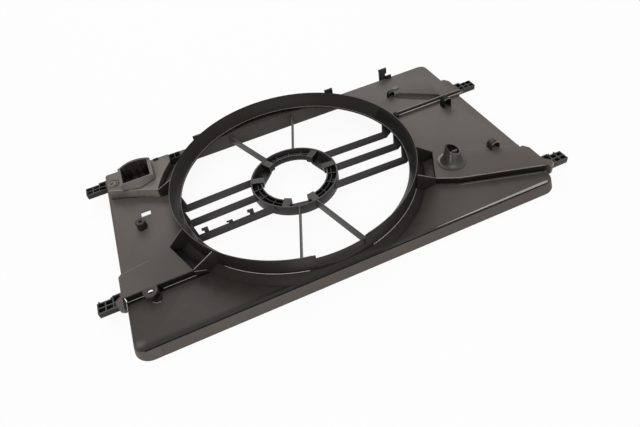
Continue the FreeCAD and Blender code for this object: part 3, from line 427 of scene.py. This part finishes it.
def block(x0, x1, y0, y1):
    """Plan of an upright block between two x and two y."""
    return [(x0, y0), (x1, y0), (x1, y1), (x0, y1)]


# Levels and places of the frame that the details sit on


def span(node):
    """Lowest and highest corner of a node's box, in millimetres."""
    low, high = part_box(node)
    return np.array(low) / MM, np.array(high) / MM


def middle_of(low, high):
    return (low[:2] + high[:2]) / 2


RING_R = 200.0
RING_TOP = span("fan_ring")[1][2]
THROAT_TOP = 36.0
DECK_TOP = span("left_deck")[1][2]
FRONT_TOP = span("front_deck")[1][2]
FRONT_EDGE_Y = span("front_deck")[0][1]
PLATFORM_TOP = span("platform")[1][2]
PANEL_LEFT = span("left_deck")[0][0]
PANEL_RIGHT = span("front_deck")[1][0]

# Plan points of the panel, as in the part
STEP_BEND = (225.2, -139.0)
STEP_NEAR_RING = (193.6, -121.5)
STEP_LEFT_INNER_X = -196.0
WEBS = (
    ("web_edge_left_back", (-194.0, -52.5), (-221.5, -50.7)),
    ("web_edge_left_front", (-163.5, -118.5), (-198.0, -113.0)),
    ("web_edge_right_back", (190.0, -67.4), (221.5, -64.6)),
    ("web_edge_right_front", (158.5, -126.6), (192.5, -121.1)),
    ("web_edge_platform", (-188.5, 69.6), (-211.5, 69.6)),
)
WEB_TONES = (line_grey, painted_highlight, line_grey, painted_soft_highlight, painted_soft_highlight)
WEB_FOOT = ((-197.5, -114.5), (-180.0, -118.5))
WELL_X = (-264.0, -217.5)
HOUSING_X = -240.0
HOUSING_HALF_WIDTH = 28.0
HOUSING_DEPTH = 48.0
PLATFORM_CORNERS = ((-292.0, 112.0), (-230.0, 80.0))
PLATFORM_FRONT_SLOPE = 0.516


# Fine forms on the panel, one function for each part of it


def ring_lines():
    """Painted highlights along the ring's rim where it shows, along the foot of its wall and round the
    throat.
    """
    rim = RING_TOP - 0.4
    for name, start, end in (("rim_line_right", 282, 402), ("rim_line_left", 148, 258)):
        bead(name, at_height(circle((0, 0), RING_R - 0.3, start, end), rim), FINE, rim_grey)
    for name, start, end in (("collar_line_left", 220, 256), ("collar_line_right", 284, 321)):
        arc = circle((0, 0), RING_R + 1.2, start, end)
        bead(name, at_height(arc, DECK_TOP + 1.2), EDGE, painted_highlight)
    throat_r = RING_R - 12.2
    throat = at_height(circle((0, 0), throat_r, steps=128), THROAT_TOP + 0.2)
    bead("throat_line", throat, FINE, line_grey, closed=True)


def step_edges():
    """Painted highlights along the foot of the left step, the top of the right step and the ledge at the
    foot of the right one.
    """
    (lug_left, _, _), (lug_right, lug_back, _) = span("nut_lug")
    edge = lug_back - 0.6
    top = DECK_TOP - 0.3
    foot = FRONT_TOP + 0.1
    past_lug = 6.0
    for name, x0, x1 in (
        ("outer", PANEL_LEFT + 1, lug_left),
        ("inner", lug_right + past_lug, STEP_LEFT_INNER_X),
    ):
        bead("step_foot_left_" + name, line((x0, edge, foot), (x1, edge, foot)), BROAD, painted_soft_highlight)
    x, y = STEP_BEND
    end_x, end_y = 350.0, -180.0
    foot_in = 3.2
    crest = line((end_x, end_y, top), (x, y, top), (*STEP_NEAR_RING, top))
    bead("step_edge_right", crest, FINE, painted_soft_highlight)
    ledge = line((end_x, end_y - foot_in, foot), (x - 1, y - foot_in, foot))
    bead("step_foot_right", ledge, FINE, line_grey)


def web_edges():
    """Painted highlights along the sloping tops of the webs between the ring and the decks, and along the
    foot of the left web.
    """
    high = RING_TOP - 2.0
    for (name, near, far), tone in zip(WEBS, WEB_TONES):
        level = PLATFORM_TOP if name.endswith("platform") else DECK_TOP
        bead(name, line((*near, high), (*far, level + 0.2)), EDGE, tone)
    start, end = WEB_FOOT
    foot = line((*start, DECK_TOP - 2), (*end, DECK_TOP - 4))
    bead("web_foot_left", foot, HAIR, painted_soft_highlight)


def duct_lines():
    """Painted highlights on the edges of the duct ribs, painted shade as a dark sheet on the duct's floor,
    and a block in the dark shade colour where it starts.
    """
    low, high = span("duct_ribs")
    for name, y, tone in (
        ("duct_edge_front", low[1] + 0.8, painted_highlight),
        ("duct_edge_back", high[1] - 0.8, painted_soft_highlight),
    ):
        bead(name, line((low[0] + 0.5, y, high[2]), (high[0] - 1, y, high[2])), HEAVY, tone)
    # Painted shade: a dark block at the start of the duct and a dark sheet on its floor
    stop = block(low[0] - 5, low[0] - 0.2, low[1] - 1, high[1] + 1)
    plate("duct_stop", stop, DECK_TOP, high[2] + 1, shaded_plastic)
    rib = 1.7
    bed = block(low[0], high[0] - 2, low[1] + rib, high[1] - rib)
    plate("duct_floor_shade", bed, DECK_TOP, DECK_TOP + 0.4, shaded_plastic, edge=0)


def deck_marks():
    """Low creases in the decks, drawn as painted highlight lines, and the oval pad beside the duct."""
    start = (PANEL_LEFT + 5, -69, DECK_TOP)
    bead("crease_left", line(start, (-254, -62, DECK_TOP)), FINE, line_grey)
    crease = line((262, -84, DECK_TOP), (310, -108, DECK_TOP), (346, -121, DECK_TOP))
    bead("crease_right", crease, FINE, line_grey)
    x, y = 260.0, 134.0
    half_long, half_wide = 7.5, 5.0
    turn = np.radians(np.linspace(0, 360, 28, endpoint=False))
    oval = np.c_[x + half_long * np.cos(turn), y + half_wide * np.sin(turn)]
    plate("harness_pad", oval, DECK_TOP, DECK_TOP + 2.2, platform_plastic, edge=0.8)


def front_edge():
    """Painted highlight along the rounded right edge of the front deck, painted shade in the crease above
    the skirt, and a painted glint on the left of the skirt.
    """
    edge_y = FRONT_EDGE_Y + 1.5
    edge_z = FRONT_TOP - 1.5
    start = 110.0
    width = np.linspace(0.2, 2.0, 25)
    path = line((start, edge_y, edge_z), (PANEL_RIGHT - 14, edge_y, edge_z), steps=24)
    bead("front_edge_line", path, width, painted_highlight)
    # Painted shade: a dark bead in the crease above the skirt
    crease_shade_y = FRONT_EDGE_Y - 0.3
    crease_shade_z = FRONT_TOP - 4.1
    crease_shade = line((PANEL_LEFT + 14, crease_shade_y, crease_shade_z), (PANEL_RIGHT - 15, crease_shade_y, crease_shade_z))
    bead("skirt_crease_shade", crease_shade, 0.9, shaded_plastic)
    glint_x = (-277.0, -226.0)
    glint_y = FRONT_EDGE_Y - 0.4
    glint_z = FRONT_TOP - 5.5
    glint = line((glint_x[0], glint_y, glint_z), (glint_x[1], glint_y, glint_z))
    bead("skirt_glint_left", glint, FINE, painted_soft_highlight)


def lug_boss():
    """Boss beside the lug, on the front deck, darkened with painted shade, with a painted highlight on its
    near side.
    """
    centre = (-257.0, -128.0)
    radius = 6.5
    # Painted shade: the boss is coloured with the dark shade grey
    plate("lug_boss", circle(centre, radius, steps=32), FRONT_TOP, FRONT_TOP + 3.0, shaded_plastic, edge=0.6)
    rim = circle(centre, radius + 0.7, 200, 300, 20)
    bead("lug_boss_rim", at_height(rim, FRONT_TOP + 0.5), FINE, painted_soft_highlight)


def panel(name, face, front, back, material):
    """Upright slab over a face of (x, height) points, from the front y to the back y."""
    face = np.asarray(face, float)
    count = len(face)
    near = np.c_[face[:, 0], np.full(count, front), face[:, 1]]
    far = np.c_[face[:, 0], np.full(count, back), face[:, 1]]
    ring = np.arange(count)
    after = (ring + 1) % count
    sides = np.c_[after, ring, ring + count, after + count].tolist()
    faces = sides + [ring.tolist(), (ring + count)[::-1].tolist()]
    return show(name, np.r_[near, far] * MM, faces, material, smooth=False)


def gusset_rim():
    """Painted highlight along the lip round the top of the half-round column under the right front tab."""
    low, high = span("tab_gusset_right")
    centre = (low[0], (low[1] + high[1]) / 2)
    rim = at_height(circle(centre, high[0] - low[0] - 0.4, -85, 5, 16), DECK_TOP - 0.2)
    bead("gusset_rim_right", rim, HAIR, painted_highlight)


def housing_well_shade():
    """Dark sheets inside the resistor's well that paint its shade on the walls and floor, and its contact
    ribs.
    """
    x0, x1 = WELL_X
    low, high = span("housing_ribs")
    y0, y1, floor = low[1], high[1], low[2]
    top = PLATFORM_TOP + 8.5
    skin = 0.5
    # Painted shade: thin dark sheets on the well's left, right and front walls and its floor, and below them
    # on its back wall
    for name, plan, bottom, head in (
        ("left", block(x0, x0 + skin, y0, y1), floor, top),
        ("right", block(x1 - skin, x1, y0, y1), floor, top),
        ("front", block(x0 + skin, x1 - skin, y0, y0 + skin), floor, top - 1.5),
        ("floor", block(x0 + skin, x1 - skin, y0 + skin, y1 - skin), floor, floor + skin),
    ):
        plate("housing_well_shade_" + name, plan, bottom, head, well_shade_plastic, edge=0)
    across = np.linspace(x0 + skin, x1 - skin, 24)
    from_middle = across - HOUSING_X
    fall = np.where(from_middle < 0, 0.0115, 0.0077)
    crown = PLATFORM_TOP + 16.2 - fall * from_middle ** 2
    face = [(x0 + skin, floor), (x1 - skin, floor)] + list(zip(across[::-1], crown[::-1]))
    panel("housing_well_shade_back", face, y1 - skin, y1, well_shade_plastic)
    deep, wide = 3.5, 2.4
    for i, x in enumerate((-260.0, -246.5, -233.0, -221.5)):
        plan = block(x, x + wide, y1 - deep, y1 - skin)
        plate("contact_rib_%d" % (i + 1), plan, floor, top + 2, arm_plastic)


def platform_marks():
    """Painted shadow along the apron's foot, the rib round the screw ear, and a dark block that paints the
    shade of a notch at the back.
    """
    left, right = HOUSING_X - HOUSING_HALF_WIDTH, HOUSING_X + HOUSING_HALF_WIDTH
    front = span("resistor_housing")[1][1] - HOUSING_DEPTH
    foot = PLATFORM_TOP + 0.1
    apron = line((left, front - 1.9, foot), (HOUSING_X, front - 10.8, foot), (right, front + 0.6, foot))
    bead("apron_shadow", apron, 0.7, shaded_plastic)
    arc = circle(middle_of(*span("platform_screw_ear")), 11.0, -70, 110, 24)
    bead("screw_ear_rib", at_height(arc, PLATFORM_TOP + 0.6), 1.0, platform_plastic)
    # Painted shade: a dark block for the shade in a notch at the back of the platform
    notch = block(-208, -199, 149.5, 155.0)
    plate("platform_notch_shade", notch, PLATFORM_TOP - 0.1, PLATFORM_TOP + 1.6, shaded_plastic)


def platform_band():
    """Upright ribs on the front wall of the platform, a painted highlight along its top edge and painted
    shade along its foot.
    """
    (left, left_y), corner = PLATFORM_CORNERS
    wide = 1.6
    for i, x in enumerate((-284.0, -262.0, -247.0)):
        wall = left_y - (x - left) * PLATFORM_FRONT_SLOPE
        plan = block(x, x + wide, wall - 1.2, wall + 1.0)
        plate("band_rib_%d" % (i + 1), plan, DECK_TOP, PLATFORM_TOP - 0.5, line_grey)
    end = (-212.0, span("platform")[0][1])
    edge = [(*place, PLATFORM_TOP) for place in ((left, left_y), corner, end)]
    bead("platform_edge_line", line(*edge), BROAD, painted_soft_highlight)
    # Painted shade: a dark bead along the foot of the band
    level = DECK_TOP + 0.3
    foot = line((-293, 108.2, level), (-255, 92, level), (-213, 74.4, level))
    bead("platform_foot_line", foot, HEAVY, boss_plastic)


def spout_details():
    """Lip round the tilted mouth of the drain spout, its raised edge, its divider and a painted highlight
    streak down its front.
    """
    x, y = middle_of(*span("drain_spout"))
    waist_r, taper, waist_z = 14.2, 4.2 / 26.0, DECK_TOP + 11.0
    mouth_z, slope, faces = DECK_TOP + 25.5, np.tan(np.radians(22.0)), np.radians(328.0)
    count = 48
    turn = np.linspace(0, 2 * np.pi, count, endpoint=False)
    radius = np.full(count, 12.0)
    for _ in range(20):
        z = mouth_z - slope * radius * np.cos(turn - faces)
        radius = waist_r - taper * (z - waist_z)
    rim = radius - 0.6
    mouth = np.c_[x + rim * np.cos(turn), y + rim * np.sin(turn), z]
    bead("spout_lip", mouth, HAIR, line_grey, closed=True)
    plan = block(x - 1.0, x + 8.5, y - 0.8, y + 0.8)
    plate("spout_divider", plan, mouth_z - 14, mouth_z - 4.5, line_grey)
    # Painted highlight: a light bead down the front of the spout
    facing = np.radians(226.0)
    down = np.linspace(mouth_z - 2.5, DECK_TOP + 7.0, 12)
    out = waist_r - taper * (down - waist_z) - 1.2
    gloss_highlight = np.c_[x + out * np.cos(facing), y + out * np.sin(facing), down]
    bead("spout_gloss_highlight", gloss_highlight, np.linspace(2.0, 1.6, 12), line_grey)
    edge = mouth[15:29]
    swell = np.sin(np.linspace(0, np.pi, len(edge))) ** 2
    for i, rise in enumerate((1.2, 2.6, 4.0)):
        tip = np.c_[edge[:, :2], edge[:, 2] + rise * swell]
        bead("spout_tip_%d" % (i + 1), tip, 0.9, arm_plastic)


def hub_lines():
    """Painted highlights along the tops of the motor mount's inner lip and outer rim between its three ears.
    """
    top = span("motor_mount")[1][2]
    lip_r, rim_r = 55.2, 71.9
    ears, ear_angle, past_ear = 3, 19, 34
    for i in range(ears):
        start = ear_angle + 360 // ears * i + past_ear
        lip = circle((0, 0), lip_r, start, start + 52, 24)
        bead("hub_lip_line_%d" % (i + 1), at_height(lip, top - 1.9), FINE, line_grey)
        rim = circle((0, 0), rim_r, start - 4, start + 60, 24)
        bead("hub_rim_line_%d" % (i + 1), at_height(rim, top + 0.1), FINE, rim_grey)


def clip_lines():
    """Painted highlight arcs on the tops of the harness clips."""
    for name, tone in (
        ("harness_clip_inner", line_grey),
        ("harness_clip_outer", painted_soft_highlight),
        ("harness_clip_small", painted_soft_highlight),
    ):
        low, high = span(name)
        turn = np.linspace(0.15 * np.pi, 0.85 * np.pi, 14)
        middle, half = (low[0] + high[0]) / 2, (high[0] - low[0]) / 2
        level = high[2] - half * (1 - np.sin(turn)) / 2
        arc = np.c_[middle - half * np.cos(turn), np.full(14, low[1] + 0.2), level]
        bead(name + "_line", arc, HAIR, tone)


def boss_lines():
    """Painted highlight lines round the foot and top of the screw boss."""
    low, high = span("screw_boss")
    centre = middle_of(low, high)
    radius = (high[0] - low[0]) / 2
    foot = circle(centre, radius + 0.6, -95, 20, 16)
    bead("boss_foot_line", at_height(foot, DECK_TOP + 0.3), FINE, line_grey)
    bead("boss_top_line", at_height(circle(centre, 5.0, steps=24), high[2]), 0.35, rim_grey, closed=True)


def tab_spikes():
    """Small moulding spikes that stand on the ribs of the two front tabs."""
    for name, shares, inside in (
        ("tab_right_front", (0.33, 0.62), 4.8),
        ("tab_left_front", (0.12, 0.62), 5.5),
    ):
        low, high = span(name)
        for i, share in enumerate(shares):
            x = low[0] + (high[0] - low[0]) * share
            plan = circle((x, high[1] - inside), 1.3, steps=8)
            title = "%s_spike_%d" % (name, i + 1)
            plate(title, plan, high[2] - 0.5, high[2] + 3.0, tab_plastic)


ring_lines()
step_edges()
web_edges()
duct_lines()
deck_marks()
front_edge()
lug_boss()
housing_well_shade()
platform_marks()
platform_band()
spout_details()
hub_lines()
gusset_rim()
tab_spikes()
clip_lines()
boss_lines()


# Scene: pale floor, soft boxes, camera


FLOOR_HALF = 6.0
FLOOR_DROP = 0.0005
FLOOR_GLOW = 0.93
WORLD_LIGHT = 0.45


def plain(name, colour):
    """Matt ground that also glows where the camera sees it, directly, in a gloss or through glass."""
    material = bpy.data.materials.new(name)
    material.use_nodes = True
    tree = material.node_tree
    shader = tree.nodes["Principled BSDF"]
    shader.inputs["Base Color"].default_value = (*colour, 1.0)
    shader.inputs["Roughness"].default_value = 0.9
    light = node_of(tree, "ShaderNodeEmission", Strength=1.0)
    seen = tree.nodes.new("ShaderNodeLightPath")
    mix = tree.nodes.new("ShaderNodeMixShader")
    direct = seen.outputs["Is Camera Ray"]
    for kind in ("Is Glossy Ray", "Is Transmission Ray"):
        either = node_of(tree, "ShaderNodeMath", operation="MAXIMUM")
        tree.links.new(direct, either.inputs[0])
        tree.links.new(seen.outputs[kind], either.inputs[1])
        direct = either.outputs[0]
    share = node_of(tree, "ShaderNodeMath", operation="MULTIPLY")
    share.inputs[1].default_value = FLOOR_GLOW
    tree.links.new(direct, share.inputs[0])
    tree.links.new(share.outputs[0], mix.inputs["Fac"])
    tree.links.new(shader.outputs["BSDF"], mix.inputs[1])
    tree.links.new(light.outputs["Emission"], mix.inputs[2])
    tree.links.new(mix.outputs["Shader"], tree.nodes["Material Output"].inputs["Surface"])
    return material


def floor():
    mesh = bpy.data.meshes.new("floor")
    size = FLOOR_HALF
    corners = [(-size, -size, 0), (size, -size, 0), (size, size, 0), (-size, size, 0)]
    mesh.from_pydata(corners, [], [(0, 1, 2, 3)])
    made = bpy.data.objects.new("floor", mesh)
    bpy.context.scene.collection.objects.link(made)
    made.location.z = -FLOOR_DROP
    put_material(made, plain("floor_white", (0.8, 0.8, 0.8)))


def world():
    made = bpy.data.worlds.new("studio")
    bpy.context.scene.world = made
    made.use_nodes = True
    made.node_tree.nodes["Background"].inputs["Color"].default_value = (1, 1, 1, 1)
    made.node_tree.nodes["Background"].inputs["Strength"].default_value = WORLD_LIGHT


def softbox(name, place, aim, size, power):
    lamp = bpy.data.lights.new(name, "AREA")
    lamp.shape = "RECTANGLE"
    lamp.size, lamp.size_y = size
    lamp.energy = power
    made = bpy.data.objects.new(name, lamp)
    bpy.context.scene.collection.objects.link(made)
    made.location = place
    made.rotation_euler = (Vector(aim) - Vector(place)).to_track_quat("-Z", "Y").to_euler()
    return made


def camera():
    lens = bpy.data.cameras.new("camera")
    lens.sensor_width = SENSOR_MM
    lens.lens = FOCAL_PIXELS * SENSOR_MM / PICTURE_WIDTH
    made = bpy.data.objects.new("camera", lens)
    bpy.context.scene.collection.objects.link(made)
    look = (Vector(CAMERA_TARGET) - Vector(CAMERA_AT)).to_track_quat("-Z", "Y").to_matrix()
    turned = look @ Matrix.Rotation(CAMERA_ROLL, 3, "Z")
    made.matrix_world = Matrix.Translation(CAMERA_AT) @ turned.to_4x4()
    bpy.context.scene.camera = made


floor()
world()
softbox("back_box", (0.5, 2.2, 1.8), (0.1, 0, 0), (2.6, 1.2), 30)
softbox("top_box", (-0.2, -0.2, 2.4), (0, 0, 0), (1.8, 1.8), 16)
softbox("front_box", (-0.5, -2.0, 1.1), (0, 0, 0), (2.0, 0.8), 14)
camera()
bpy.context.scene.view_settings.view_transform = "Standard"
